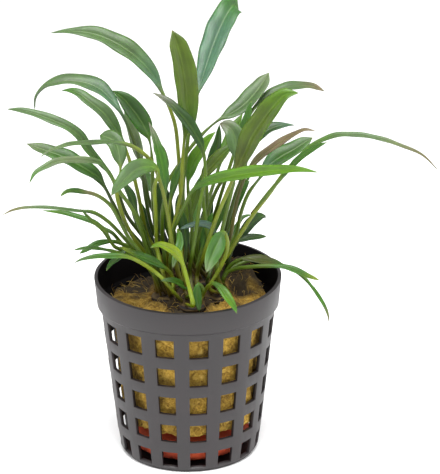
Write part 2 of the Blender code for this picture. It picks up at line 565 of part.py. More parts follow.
def build_leaf(name, leaf, line, start, finish):
    """Stalk and blade grown as one piece: a skin over its rings, closed at the foot and the tip."""
    grown = bmesh.new()
    faces = leaf_faces(leaf, line, start)
    rings = [[grown.verts.new(corner) for corner in leaf_ring(leaf, line, faces, start, along)]
             for along in ring_places(start)]
    tip = grown.verts.new(line[-1])
    corners = len(rings[0])
    grown.faces.new(rings[0])
    for lower, upper in zip(rings, rings[1:]):
        for corner in range(corners):
            following = (corner + 1) % corners
            grown.faces.new((lower[corner], lower[following], upper[following], upper[corner]))
    for corner in range(corners):
        grown.faces.new((rings[-1][corner], rings[-1][(corner + 1) % corners], tip))
    bmesh.ops.triangulate(grown, faces=grown.faces, quad_method="FIXED")
    bmesh.ops.recalc_face_normals(grown, faces=grown.faces)
    return add_object(name, grown, finish)


def leaf_samples(leaf, line, start):
    """Points spread over the leaf, each with the step of the midline that it belongs to."""
    steps = []
    points = []
    faces = leaf_faces(leaf, line, start)
    for step in range(len(line)):
        _, side, face, width = section_at(leaf, line, faces, start, step / (len(line) - 1))
        spread = int(width / SAMPLE_SPACING)
        for number in range(spread + 1):
            share = number / spread - 0.5 if spread else 0.0
            steps.append(step)
            rise = LEAF_FOLD * width * (2 * abs(share) - 0.5)
            points.append(Vector(line[step]) + side * width * share + face * rise)
    return np.array(steps), np.array([tuple(point) for point in points])


def close_pairs(points, owner):
    """Index pairs of points on different leaves that are nearer than the clearance."""
    tree = KDTree(len(points))
    for index, point in enumerate(points):
        tree.insert(point, index)
    tree.balance()
    pairs = []
    for index, point in enumerate(points):
        for _, other, _ in tree.find_range(point, CLEARANCE):
            if owner[other] > owner[index]:
                pairs.append((index, other))
    return np.array(pairs).reshape(-1, 2)


def choose_fronts(pairs, owner, away, fronts):
    """Settles once for each two leaves that meet which of them passes in front: 1 for the first."""
    between = {}
    for first, second in pairs:
        between.setdefault((owner[first], owner[second]), []).append(away[second] - away[first])
    for couple, gaps in between.items():
        fronts.setdefault(couple, 1.0 if np.mean(gaps) > -FRONT_DOUBT else -1.0)


def ease_apart(lines, starts):
    """Bends leaves that touch away from each other along the line of sight, a little at a time."""
    place, _, _, ahead = (np.array(item) for item in eye())
    fronts = {}
    for _ in range(EASE_ROUNDS):
        sampled = [leaf_samples(leaf, line, start) for leaf, line, start in zip(LEAVES, lines, starts)]
        owner = np.concatenate([np.full(len(steps), number) for number, (steps, _) in enumerate(sampled)])
        step = np.concatenate([steps for steps, _ in sampled])
        points = np.concatenate([spots for _, spots in sampled])
        away = (points - place) @ ahead
        pairs = close_pairs(points, owner)
        if not len(pairs):
            break
        choose_fronts(pairs, owner, away, fronts)
        forth = np.zeros((len(LEAVES), MIDLINE_POINTS))
        back = np.zeros((len(LEAVES), MIDLINE_POINTS))
        near, far = pairs[:, 0], pairs[:, 1]
        in_front = np.array([fronts[(owner[i], owner[j])] for i, j in pairs])
        aside = np.linalg.norm(points[near] - points[far] - np.outer(away[near] - away[far], ahead), axis=1)
        lack = np.sqrt(np.clip(CLEARANCE ** 2 - aside ** 2, 0.0, None)) - in_front * (away[far] - away[near])
        push = np.clip(lack, 0.0, CLEARANCE) * EASE_SHARE
        nearer = np.where(in_front > 0, near, far)
        farther = np.where(in_front > 0, far, near)
        np.maximum.at(forth, (owner[nearer], step[nearer]), push)
        np.maximum.at(back, (owner[farther], step[farther]), push)
        lines = [bend_line(line, back[number] - forth[number], place) for number, line in enumerate(lines)]
    return lines


def bend_line(line, shift, place):
    """Moves a midline along the rays from the eye, each push spread smoothly over its neighbours."""
    length = np.concatenate([[0.0], np.cumsum(np.linalg.norm(np.diff(line, axis=0), axis=1))])
    between = np.clip(np.abs(length[:, None] - length[None, :]) / EASE_LENGTH, 0.0, 1.0)
    bump = np.cos(between * math.pi / 2) ** 2
    spread = (bump * np.maximum(shift, 0.0)).max(axis=1) + (bump * np.minimum(shift, 0.0)).min(axis=1)
    spread = spread * np.clip(length / FREE_FOOT, 0.0, 1.0)
    rays = line - place
    rays /= np.linalg.norm(rays, axis=1)[:, None]
    return line + rays * spread[:, None]


def main():
    """Builds every piece."""
    for item in list(bpy.data.objects):
        bpy.data.objects.remove(item, do_unlink=True)
    plastic = material("black_plastic", (0.035, 0.032, 0.036), 0.42)
    clay = material("fired_clay", (0.42, 0.08, 0.03), 0.85)
    wool = material("mineral_wool", (0.33, 0.22, 0.07), 0.95)
    rhizome = material("crown_skin", (0.12, 0.07, 0.03), 0.7)
    tissue = material("leaf_tissue", (0.07, 0.17, 0.04), 0.4)
    build_pot(plastic)
    build_ring(clay)
    build_wool(wool)
    for name, centre in CROWNS.items():
        build_crown("crown_" + name, centre, rhizome)
    bases = leaf_bases()
    grown = [leaf_midline(leaf, base) for leaf, base in zip(LEAVES, bases)]
    starts = [start for _, start in grown]
    lines = ease_apart([line for line, _ in grown], starts)
    for number, (leaf, line, start) in enumerate(zip(LEAVES, lines, starts), start=1):
        build_leaf(f"leaf_{number:02d}", leaf, line, start, tissue)


main()
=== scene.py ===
import math
import random
from collections import namedtuple

import bmesh
import bpy
import numpy as np
from mathutils import Matrix, Vector, noise


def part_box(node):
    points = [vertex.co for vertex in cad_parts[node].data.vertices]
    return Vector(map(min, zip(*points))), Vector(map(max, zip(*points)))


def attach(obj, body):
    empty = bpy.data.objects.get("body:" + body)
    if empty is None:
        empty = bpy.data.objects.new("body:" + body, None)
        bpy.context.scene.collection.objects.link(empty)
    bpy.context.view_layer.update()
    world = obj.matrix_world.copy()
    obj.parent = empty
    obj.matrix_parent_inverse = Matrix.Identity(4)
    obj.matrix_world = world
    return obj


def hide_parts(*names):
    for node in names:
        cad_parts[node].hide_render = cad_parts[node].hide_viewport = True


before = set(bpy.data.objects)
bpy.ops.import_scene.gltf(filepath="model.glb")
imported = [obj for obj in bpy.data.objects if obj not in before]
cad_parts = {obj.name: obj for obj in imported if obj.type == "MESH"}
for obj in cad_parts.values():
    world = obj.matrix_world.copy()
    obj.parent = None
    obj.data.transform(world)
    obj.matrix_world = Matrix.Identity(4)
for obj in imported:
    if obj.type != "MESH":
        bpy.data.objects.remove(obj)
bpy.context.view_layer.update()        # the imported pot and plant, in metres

MM = 0.001
SEED = 7

# Camera: half a metre away, looking down on the pot
EYE_DISTANCE = 500.0
EYE_TARGET = Vector((0.0, 0.0, 60.0))
EYE_PITCH = math.radians(19.44)
EYE_PAN = math.radians(1.07)
EYE_TILT = math.radians(0.50)
EYE_ROLL = math.radians(-0.58)
LENS = 132.2
SENSOR = 36.0
EYE_PIXELS = 1741.0          # the picture's focal length, and its centre, in pixels
PICTURE_CENTRE = (220.0, 237.0)

# Studio: each lamp's name, place in metres, size and power
LAMPS = [
    ("top_light", (0.0, -0.30, 0.85), 0.6, 14.0),
    ("left_light", (-0.85, -0.15, 0.45), 0.9, 4.0),
    ("right_light", (0.85, -0.15, 0.45), 0.9, 4.0),
]
LAMP_AIM = Vector((0.0, 0.0, 0.05))
SKY_STRENGTH = 0.62
FLOOR_SIZE = 4.0
FLOOR_WHITE = (0.9, 0.9, 0.9, 1.0)

# Net pot
WALL = 1.0
POT_HEIGHT = 51.4
COLLAR_TOP_RADIUS = 27.0
COLLAR_FOOT_RADIUS = 26.3
COLLAR_FOOT_HEIGHT = 45.2
COLLAR_SLANT = 4.0           # the collar stands this much higher at the rear than at the front
WALL_TOP_RADIUS = 25.3
WALL_TOP_HEIGHT = 44.4
WALL_SLOPE = 0.108
FOOT_HEIGHT = 1.5
FOOT_ROUNDING = 1.0
FLOOR_HUB_RADIUS = 6.0
FLOOR_SLOT_OUTER_RADIUS = 13.5
COLUMNS = 16
FIRST_COLUMN = 6.7           # degrees to the right of the front
WINDOW_HALF_ANGLE = 6.3      # degrees
WINDOW_ROWS = 5
WINDOW_HEIGHT = 5.6
ROW_PITCH = 9.0
TOP_WINDOW_HEIGHT = 42.6
STEPS_ACROSS = 4             # faces across a window, and across the bar beside it
EDGE_ROUNDING = 0.16         # the mould leaves its edges slightly soft

# Clay ring
CLAY_RADIUS = 13.4
CLAY_HALF_WIDTH = 4.4
CLAY_HALF_HEIGHT = 4.6
CLAY_HEIGHT = 5.9
CLAY_SQUARENESS = 0.75
CLAY_SIDES = 28
CLAY_STEPS = 120
CLAY_WEAR = 0.25

# Mineral wool
WOOL_SHIFT = 0.5
WOOL_FOOT = 10.9
WOOL_FOOT_RADIUS = 19.8
WOOL_TOP_RADIUS = 22.9
WOOL_TOP = 46.4
WOOL_HEAP = (15.5, 13.5)     # place of the heap at its right rear
WOOL_HEAP_HEIGHT = 6.8
WOOL_HEAP_SPREAD = 7.0
WOOL_ROLL = 0.7              # height of the slow rise and fall of its top
WOOL_LIP = 1.7               # height of the lip round each crown, and how far it reaches
WOOL_LIP_REACH = 2.6
STEM_BASE = (0.5, -6.0)      # where the stems crowd together, and the top of the wool is drawn darker round them
FIBRE_THICKNESS = 0.11       # bundles of fibres, since single ones are too fine to see
FIBRES = 420

# Leaves
STATION_SPACING = 1.0        # along a leaf
STALK_WIDTH = 1.1
STALK_RINGS = 6              # along a small leaf's stalk
FULLNESS = 0.42              # what a small leaf's width formula comes to at its widest
FLATTENING = 5.0             # over this length a round stalk turns into the flat blade
BLADE_THICKNESS = 0.34
EDGE_THICKNESS = 0.10
FOLD = 0.16                  # of the width: how far the two halves of a blade are folded up
BOW = 0.05                   # of the width: how far each half is bowed
WAVE = 0.045                 # of the greatest width: height of the waves in a blade's edge
WAVE_LENGTHS = (7.0, 12.0)
GROOVE = 0.16                # depth of the groove over the midrib
RIB = 0.5                    # height of the midrib on the underside
BLADE_RINGS = 8              # rings of the solid between the blade's foot and its tip
VEIN_SPACING = 0.55          # the fine parallel veins, drawn a little coarser to show

# A leaf's colours: its stalk, the foot, middle and tip of its blade, and its underside
Look = namedtuple("Look", "stalk foot middle tip under")
RIB_GREEN = "#8fae4e"        # midrib
FOOT_BROWN = "#5a3a1c"       # lowest part of every stalk
PALETTE = {
    "lime": "#687a00",
    "bright": "#436800",
    "fresh": "#2e590a",
    "green": "#274b08",
    "deep": "#1a3705",
    "shade": "#142207",
    "olive": "#3c4e05",
    "olive_brown": "#3a4105",
    "grey_green": "#40582f",
    "silver": "#566443",
    "bluish": "#395a42",
    "steel": "#354d42",
    "pinkish": "#595a4b",
    "dry": "#64563e",
    "straw": "#626e0e",
    "pale_stalk": "#6a7916",
    "green_stalk": "#445b09",
    "dark_stalk": "#2e3f08",
    "bronze": "#45430b",
}
PLAIN = Look("green_stalk", "green", "green", "fresh", "olive")
LOOKS = {
    1: Look("green_stalk", "fresh", "fresh", "grey_green", "fresh"),
    2: Look("pale_stalk", "fresh", "bright", "fresh", "bright"),
    3: Look("lime", "lime", "lime", "bright", "lime"),
    4: Look("pale_stalk", "pale_stalk", "fresh", "grey_green", "fresh"),
    5: Look("pale_stalk", "fresh", "fresh", "silver", "bright"),
    6: Look("green_stalk", "green", "fresh", "grey_green", "green"),
    7: Look("pale_stalk", "green", "green", "straw", "green"),
    8: Look("pale_stalk", "bright", "grey_green", "grey_green", "fresh"),
    9: Look("green_stalk", "dry", "green", "bright", "fresh"),
    10: Look("dark_stalk", "deep", "deep", "fresh", "deep"),
    11: Look("straw", "grey_green", "grey_green", "silver", "grey_green"),
    12: Look("green_stalk", "fresh", "silver", "fresh", "grey_green"),
    13: Look("green_stalk", "green", "grey_green", "dry", "green"),
    14: Look("green_stalk", "green", "bright", "bright", "fresh"),
    15: Look("straw", "grey_green", "grey_green", "grey_green", "fresh"),
    16: Look("straw", "olive_brown", "olive", "bright", "green"),
    17: Look("green_stalk", "grey_green", "grey_green", "pinkish", "grey_green"),
    18: Look("green_stalk", "green", "fresh", "pinkish", "silver"),
    19: Look("straw", "green", "green", "grey_green", "olive"),
    20: Look("green_stalk", "green", "fresh", "fresh", "green"),
    21: Look("green_stalk", "grey_green", "fresh", "bright", "green"),
    22: Look("green_stalk", "deep", "deep", "green", "deep"),
    23: Look("green_stalk", "deep", "deep", "pinkish", "deep"),
    24: Look("dark_stalk", "deep", "steel", "steel", "deep"),
    25: Look("dark_stalk", "deep", "green", "silver", "deep"),
    26: Look("straw", "green", "olive", "olive", "olive"),
    27: Look("straw", "bright", "grey_green", "dry", "grey_green"),
    28: Look("green_stalk", "fresh", "fresh", "straw", "green"),
    29: Look("green_stalk", "olive_brown", "olive_brown", "green", "green"),
    30: Look("dark_stalk", "green", "grey_green", "grey_green", "green"),
    31: Look("bronze", "olive_brown", "dry", "dry", "shade"),
    32: Look("green_stalk", "bluish", "green", "grey_green", "green"),
    33: Look("straw", "green", "grey_green", "fresh", "green"),
    34: Look("dark_stalk", "bluish", "grey_green", "grey_green", "green"),
    35: Look("green_stalk", "green", "deep", "green", "deep"),
    36: Look("green_stalk", "olive", "olive", "green", "olive"),
    37: Look("green_stalk", "fresh", "bright", "bright", "fresh"),
    38: Look("dark_stalk", "deep", "deep", "green", "deep"),
    39: Look("green_stalk", "fresh", "fresh", "dry", "fresh"),
    40: Look("straw", "bluish", "grey_green", "grey_green", "green"),
    41: Look("green_stalk", "bluish", "bluish", "fresh", "bluish"),
    42: Look("dark_stalk", "shade", "deep", "bluish", "shade"),
    43: Look("green_stalk", "green", "green", "fresh", "green"),
    44: Look("dark_stalk", "silver", "silver", "grey_green", "silver"),
    45: Look("green_stalk", "grey_green", "grey_green", "silver", "grey_green"),
    46: Look("green_stalk", "deep", "deep", "green", "deep"),
    47: Look("green_stalk", "grey_green", "grey_green", "dry", "grey_green"),
    48: Look("green_stalk", "fresh", "bright", "bright", "fresh"),
}

# Small leaves and stalks between the larger ones: the pixels that each passes in the picture of the
# plant with their depths, the number of those before its blade, its width and its lean in degrees
Sprig = namedtuple("Sprig", "route stalk width turn look")
DARK = Look("dark_stalk", "deep", "deep", "green", "deep")
STEM = Look("green_stalk", "green_stalk", "green_stalk", "green", "green_stalk")
SHADED = Look("shade", "shade", "deep", "deep", "shade")
SPRIGS = [
    Sprig([(150, 262, -8), (126, 251, -10), (115, 247, -12), (109, 239, -14), (103, 230, -15), (93, 222, -16),
           (80, 208.5, -17)], 2, 1.5, 35, STEM),
    Sprig([(150, 264, -9), (122, 254, -12), (110, 250.5, -14), (101, 249, -15), (86, 248, -16),
           (72.5, 250.5, -17)], 2, 1.3, 35, PLAIN),
    Sprig([(186, 286, -13), (182, 262, -14), (178.5, 230, -15), (180, 243, -17), (176, 255, -19),
           (172.5, 269, -20)], 2, 2.2, 10, LOOKS[5]),
    Sprig([(252, 214, -12), (270, 191, -15), (284, 175, -17), (292, 166, -18), (303, 156, -19),
           (315, 148, -20), (327.5, 142, -21)], 2, 2.3, 40, LOOKS[43]),
    Sprig([(220, 262, 0), (232, 250, 1), (236, 242, 2), (242, 239.5, 3), (254, 237, 4), (267, 236.5, 5)],
          2, 2.6, 40, DARK),
    Sprig([(222, 262, -2), (231, 243, 0), (232, 235, 1), (238, 224, 2), (243, 217.5, 3), (252, 214.5, 4)],
          2, 1.6, 40, LOOKS[43]),
    Sprig([(212, 262, 8), (224, 244, 9), (232, 235, 10), (237, 246, 9)], 1, 5.0, 30, LOOKS[24]),
    Sprig([(206, 262, 3), (222, 240, 4), (231, 222, 5), (236, 204, 6), (243, 190, 7), (250, 180, 8)],
          2, 3.0, 30, LOOKS[43]),
    Sprig([(214, 258, 6), (226, 232, 7), (233, 208, 8), (241, 189, 9), (252, 174, 10)], 1, 2.0, 30, STEM),
    Sprig([(198, 262, 2), (212, 236, 3), (222, 214, 4), (229, 196, 5), (236, 182, 6)], 1, 2.2, 30, PLAIN),
    Sprig([(178, 262, 2), (182, 236, 4), (190, 210, 6), (197, 190, 8), (204, 172, 10)], 1, 3.2, 20, STEM),
    Sprig([(170, 262, 4), (163, 236, 5), (158, 212, 6), (157, 194, 7), (160, 180, 8)], 1, 3.4, 20, SHADED),
    Sprig([(176, 262, 8), (171, 234, 9), (167, 212, 10), (168, 190, 11)], 1, 3.8, 20, SHADED),
    Sprig([(190, 262, 10), (186, 236, 11), (181, 214, 12), (178, 194, 13)], 1, 4.0, 20, SHADED),
    Sprig([(200, 262, 12), (204, 238, 13), (207, 216, 14), (212, 198, 15)], 1, 3.8, 20, SHADED),
    Sprig([(158, 262, 0), (147, 240, 1), (138, 222, 2), (131, 206, 3)], 1, 2.6, 30, DARK),
    Sprig([(162, 262, 6), (152, 238, 7), (144, 218, 8), (139, 200, 9)], 1, 3.0, 30, SHADED),
    Sprig([(184, 270, -4), (186, 248, -3), (184, 226, -2), (181, 208, -1)], 1, 2.6, 20, DARK),
    Sprig([(196, 270, -2), (202, 248, -1), (206, 230, 0), (213, 212, 1)], 1, 2.4, 20, PLAIN),
]


def linear(code):
    """An sRGB hex colour as linear red, green, blue and alpha."""
    channels = [int(code[at:at + 2], 16) / 255 for at in (1, 3, 5)]
    return (*(c / 12.92 if c <= 0.04045 else ((c + 0.055) / 1.055) ** 2.4 for c in channels), 1.0)


def new_material(name):
    """A material with its node tree and its Principled shader."""
    made = bpy.data.materials.new(name)
    made.use_nodes = True
    return made, made.node_tree, made.node_tree.nodes["Principled BSDF"]


def add(tree, kind, inputs=None, stops=None, **settings):
    """Adds a node with its settings; inputs and a ramp's stops are numbers, colours or sockets."""
    node = tree.nodes.new("ShaderNode" + kind)
    for name, value in settings.items():
        setattr(node, name, value)
    for name, value in (inputs or {}).items():
        if isinstance(value, bpy.types.NodeSocket):
            tree.links.new(value, node.inputs[name])
        else:
            node.inputs[name].default_value = value
    if stops:
        ramp = node.color_ramp.elements
        while len(ramp) < len(stops):
            ramp.new(0.5)
        for element, (place, colour) in zip(ramp, stops):
            element.position = place
            element.color = linear(colour)
    return node


def leaf_tissue():
    """Living leaf: green cells under a thin wax, so it is satin, with a little light coming through."""
    made, tree, shader = new_material("leaf_tissue")
    tint = add(tree, "Attribute", attribute_name="tint")
    vein = add(tree, "Attribute", attribute_name="vein")
    along = add(tree, "Attribute", attribute_name="along")
    place = add(tree, "TexCoord")
    number = add(tree, "Attribute", attribute_name="number")
    across = add(tree, "Math", {0: vein.outputs["Fac"], 1: 1 / VEIN_SPACING}, operation="MULTIPLY")
    down = add(tree, "Math", {0: along.outputs["Fac"], 1: 1.4}, operation="MULTIPLY")
    strand_place = add(tree, "CombineXYZ", {"X": across.outputs[0], "Y": down.outputs[0],
                                            "Z": number.outputs["Fac"]})
    strands = add(tree, "TexNoise", {"Vector": strand_place.outputs[0], "Scale": 1.0, "Detail": 2.0,
                                     "Roughness": 0.6})
    blotches = add(tree, "TexNoise", {"Vector": place.outputs["Object"], "Scale": 260.0, "Detail": 3.0})
    cells = add(tree, "TexNoise", {"Vector": place.outputs["Object"], "Scale": 2600.0, "Detail": 1.0})
    streaked = add(tree, "MapRange", {"Value": strands.outputs["Fac"], "From Min": 0.3, "From Max": 0.7,
                                      "To Min": 0.80, "To Max": 1.16})
    patched = add(tree, "MapRange", {"Value": blotches.outputs["Fac"], "From Min": 0.3, "From Max": 0.7,
                                     "To Min": 0.82, "To Max": 1.16})
    shade = add(tree, "Math", {0: streaked.outputs[0], 1: patched.outputs[0]}, operation="MULTIPLY")
    shaded = add(tree, "Mix", {0: 1.0, 6: tint.outputs["Color"], 7: shade.outputs[0]}, data_type="RGBA",
                 blend_type="MULTIPLY")
    off_rib = add(tree, "Math", {0: vein.outputs["Fac"]}, operation="ABSOLUTE")
    rib = add(tree, "MapRange", {"Value": off_rib.outputs[0], "From Min": 0.12, "From Max": 0.42,
                                 "To Min": 0.07, "To Max": 0.0})
    ribbed = add(tree, "Mix", {0: rib.outputs[0], 6: shaded.outputs[2], 7: linear(RIB_GREEN)},
                 data_type="RGBA")
    tree.links.new(ribbed.outputs[2], shader.inputs["Base Color"])
    gloss = add(tree, "MapRange", {"Value": cells.outputs["Fac"], "From Min": 0.3, "From Max": 0.7,
                                   "To Min": 0.38, "To Max": 0.56})
    tree.links.new(gloss.outputs[0], shader.inputs["Roughness"])
    relief = add(tree, "Math", {0: cells.outputs["Fac"], 1: 0.35, 2: strands.outputs["Fac"]},
                 operation="MULTIPLY_ADD")
    bump = add(tree, "Bump", {"Height": relief.outputs[0], "Strength": 0.35, "Distance": 0.00012})
    tree.links.new(bump.outputs[0], shader.inputs["Normal"])
    shader.inputs["IOR"].default_value = 1.42
    shader.inputs["Subsurface Weight"].default_value = 0.22
    shader.inputs["Subsurface Radius"].default_value = (0.6, 1.0, 0.25)
    shader.inputs["Subsurface Scale"].default_value = 0.0008
    shader.inputs["Specular IOR Level"].default_value = 0.42
    shader.inputs["Coat Weight"].default_value = 0.12
    shader.inputs["Coat Roughness"].default_value = 0.3
    return made


def pot_plastic():
    """Moulded polypropylene, coloured black: satin, faintly clouded by handling, grey where light grazes.

    Its inside is painted a dull near black: painted shade, for the shade that fills the tub.
    """
    made, tree, shader = new_material("moulded_polypropylene")
    place = add(tree, "TexCoord")
    cloud = add(tree, "TexNoise", {"Vector": place.outputs["Object"], "Scale": 70.0, "Detail": 5.0,
                                   "Roughness": 0.6})
    grain = add(tree, "TexNoise", {"Vector": place.outputs["Object"], "Scale": 1800.0, "Detail": 2.0})
    colour = add(tree, "ValToRGB", {"Fac": cloud.outputs["Fac"]},
                 stops=[(0.3, "#151012"), (0.55, "#1d1719"), (0.75, "#2a2225")])
    # Painted shade: faces turned in towards the axis get a near black colour and a weaker specular, for the
    # shade inside the tub
    outward = add(tree, "VectorMath", {0: place.outputs["Object"], 1: (1.0, 1.0, 0.0)},
                  operation="MULTIPLY")
    normal = add(tree, "NewGeometry").outputs["Normal"]
    facing = add(tree, "VectorMath", {0: outward.outputs[0], 1: normal}, operation="DOT_PRODUCT")
    inside = add(tree, "MapRange", {"Value": facing.outputs["Value"], "From Min": -0.010, "From Max": 0.0,
                                    "To Min": 0.1, "To Max": 1.0})
    darkening = add(tree, "Mix", {0: inside.outputs[0], 6: linear("#050404"), 7: colour.outputs[0]},
              data_type="RGBA")
    tree.links.new(darkening.outputs[2], shader.inputs["Base Color"])
    sheen = add(tree, "Math", {0: inside.outputs[0], 1: 0.6}, operation="MULTIPLY")
    tree.links.new(sheen.outputs[0], shader.inputs["Specular IOR Level"])
    satin = add(tree, "MapRange", {"Value": cloud.outputs["Fac"], "From Min": 0.3, "From Max": 0.7,
                                   "To Min": 0.42, "To Max": 0.56})
    tree.links.new(satin.outputs[0], shader.inputs["Roughness"])
    bump = add(tree, "Bump", {"Height": grain.outputs["Fac"], "Strength": 0.25, "Distance": 0.00006})
    tree.links.new(bump.outputs[0], shader.inputs["Normal"])
    shader.inputs["IOR"].default_value = 1.49
    return made


def fired_clay():
    """Terracotta, pressed and fired: matt and porous, with darker damp patches and a sandy grain."""
    made, tree, shader = new_material("terracotta")
    place = add(tree, "TexCoord")
    darker_patches = add(tree, "TexNoise", {"Vector": place.outputs["Object"], "Scale": 130.0, "Detail": 4.0})
    sand = add(tree, "TexNoise", {"Vector": place.outputs["Object"], "Scale": 1500.0, "Detail": 2.0})
    colour = add(tree, "ValToRGB", {"Fac": darker_patches.outputs["Fac"]},
                 stops=[(0.3, "#8e3018"), (0.5, "#bb4422"), (0.7, "#d65a31")])
    tree.links.new(colour.outputs[0], shader.inputs["Base Color"])
    shader.inputs["Roughness"].default_value = 0.85
    bump = add(tree, "Bump", {"Height": sand.outputs["Fac"], "Strength": 0.6, "Distance": 0.00025})
    tree.links.new(bump.outputs[0], shader.inputs["Normal"])
    return made


def mineral_wool():
    """Spun stone fibre, matted: ochre and felted, with darker parts near the stems."""
    made, tree, shader = new_material("mineral_wool")
    place = add(tree, "TexCoord")
    darker_patches = add(tree, "Attribute", attribute_name="darker_patches")
    felt = add(tree, "TexNoise", {"Vector": place.outputs["Object"], "Scale": 620.0, "Detail": 6.0,
                                  "Roughness": 0.75, "Distortion": 1.2})
    clump = add(tree, "TexNoise", {"Vector": place.outputs["Object"], "Scale": 160.0, "Detail": 3.0})
    colour = add(tree, "ValToRGB", {"Fac": felt.outputs["Fac"]},
                 stops=[(0.3, "#3f2b0c"), (0.42, "#8a6820"), (0.55, "#c09a3a"), (0.7, "#e2c268")])
    toned = add(tree, "MapRange", {"Value": clump.outputs["Fac"], "From Min": 0.32, "From Max": 0.68,
                                   "To Min": 0.6, "To Max": 1.2})
    shaded = add(tree, "Mix", {0: 1.0, 6: colour.outputs[0], 7: toned.outputs[0]}, data_type="RGBA",
                 blend_type="MULTIPLY")
    # The top is drawn darker near the stems, along the rear and in random patches, up to a dark brown
    darkening = add(tree, "Math", {0: darker_patches.outputs["Fac"], 1: clump.outputs["Fac"]}, operation="ADD")
    darkening_amount = add(tree, "MapRange", {"Value": darkening.outputs[0], "From Min": 0.75, "From Max": 1.25,
                                    "To Min": 0.0, "To Max": 0.95})
    darkened_colour = add(tree, "Mix", {0: darkening_amount.outputs[0], 6: shaded.outputs[2], 7: linear("#21180c")},
                  data_type="RGBA")
    tree.links.new(darkened_colour.outputs[2], shader.inputs["Base Color"])
    shader.inputs["Roughness"].default_value = 0.9
    bump = add(tree, "Bump", {"Height": felt.outputs["Fac"], "Strength": 0.9, "Distance": 0.0006})
    tree.links.new(bump.outputs[0], shader.inputs["Normal"])
    return made


def loose_fibres():
    """Strands of stone fibre standing off the mat: straw coloured, dull."""
    made, tree, shader = new_material("stone_fibre")
    place = add(tree, "TexCoord")
    tone = add(tree, "TexNoise", {"Vector": place.outputs["Object"], "Scale": 300.0, "Detail": 2.0})
    colour = add(tree, "ValToRGB", {"Fac": tone.outputs["Fac"]},
                 stops=[(0.35, "#6f5420"), (0.5, "#a58433"), (0.68, "#cdb062")])
    tree.links.new(colour.outputs[0], shader.inputs["Base Color"])
    shader.inputs["Roughness"].default_value = 0.8
    return made


def crown_skin():
    """Skin of the short stem: brown and corky, ringed by the scars of old leaves."""
    made, tree, shader = new_material("crown_skin")
    place = add(tree, "TexCoord")
    rings = add(tree, "TexWave", {"Vector": place.outputs["Object"], "Scale": 330.0, "Distortion": 3.0,
                                  "Detail": 2.0}, bands_direction="Z")
    colour = add(tree, "ValToRGB", {"Fac": rings.outputs["Fac"]},
                 stops=[(0.2, "#1d140b"), (0.6, "#3b2a16"), (0.9, "#54431f")])
    tree.links.new(colour.outputs[0], shader.inputs["Base Color"])
    shader.inputs["Roughness"].default_value = 0.7
    bump = add(tree, "Bump", {"Height": rings.outputs["Fac"], "Strength": 0.5, "Distance": 0.0003})
    tree.links.new(bump.outputs[0], shader.inputs["Normal"])
    return made


def finish_piece(name, built, finish, nodes):
    """Turns a bmesh in millimetres into a smooth piece that stands for its nodes."""
    bmesh.ops.scale(built, vec=(MM, MM, MM), verts=built.verts)
    mesh = bpy.data.meshes.new(name)
    built.to_mesh(mesh)
    built.free()
    mesh.shade_smooth()
    mesh.materials.append(finish)
    piece = bpy.data.objects.new(name, mesh)
    bpy.context.scene.collection.objects.link(piece)
    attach(piece, "root")
    if nodes:
        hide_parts(*nodes)
    return piece


def around(radius, degrees, height):
    """A point on a circle round the axis, counted from the front towards the right."""
    angle = math.radians(degrees)
    return Vector((radius * math.sin(angle), -radius * math.cos(angle), height))


def wall_radius(height):
    """Outer radius of the pot's tapered wall."""
    return WALL_TOP_RADIUS - WALL_SLOPE * (WALL_TOP_HEIGHT - height)


def pot_profile():
    """Outer line of the pot from the rim to the middle of the floor."""
    line = [(COLLAR_TOP_RADIUS, POT_HEIGHT), (COLLAR_FOOT_RADIUS, COLLAR_FOOT_HEIGHT),
            (WALL_TOP_RADIUS, WALL_TOP_HEIGHT)]
    for row in range(WINDOW_ROWS):
        top = TOP_WINDOW_HEIGHT - row * ROW_PITCH
        line.append((wall_radius(top), top))
        line.append((wall_radius(top - WINDOW_HEIGHT), top - WINDOW_HEIGHT))
    line[-1] = (wall_radius(0.0), FOOT_HEIGHT)
    line.append((wall_radius(0.0) - FOOT_ROUNDING, 0.0))
    line.append((FLOOR_SLOT_OUTER_RADIUS, 0.0))
    line.append((FLOOR_HUB_RADIUS, 0.0))
    return line


def column_angles():
    """Every line down the pot in degrees: a few across each window and each bar."""
    angles = []
    bar_half_angle = 180.0 / COLUMNS - WINDOW_HALF_ANGLE
    for column in range(COLUMNS):
        middle = FIRST_COLUMN + column * 360.0 / COLUMNS
        for step in range(STEPS_ACROSS):
            angles.append(middle + WINDOW_HALF_ANGLE * (2 * step / STEPS_ACROSS - 1))
        for step in range(STEPS_ACROSS):
            angles.append(middle + WINDOW_HALF_ANGLE + 2 * bar_half_angle * step / STEPS_ACROSS)
    return angles


def slant_collar(pot):
    """Draws the collar out upwards, from nothing at the front to its full slant at the rear."""
    for vert in pot.verts:
        share = max((vert.co.z - COLLAR_FOOT_HEIGHT) / (POT_HEIGHT - COLLAR_FOOT_HEIGHT), 0.0)
        vert.co.z += COLLAR_SLANT * share * (0.5 + 0.5 * vert.co.y / COLLAR_TOP_RADIUS)


def is_open(face):
    """Whether a face of the tub lies in a window or in a slot of the floor."""
    centre = face.calc_center_median()
    radius = math.hypot(centre.x, centre.y)
    degrees = math.degrees(math.atan2(centre.x, -centre.y))
    off = (degrees - FIRST_COLUMN + 180.0 / COLUMNS) % (360.0 / COLUMNS) - 180.0 / COLUMNS
    if abs(off) > WINDOW_HALF_ANGLE:
        return False
    if centre.z < MM:
        return FLOOR_HUB_RADIUS < radius < FLOOR_SLOT_OUTER_RADIUS
    tops = [TOP_WINDOW_HEIGHT - row * ROW_PITCH for row in range(WINDOW_ROWS)]
    return any(top - WINDOW_HEIGHT < centre.z < top for top in tops[:-1]) \
        or FOOT_HEIGHT < centre.z < tops[-1]


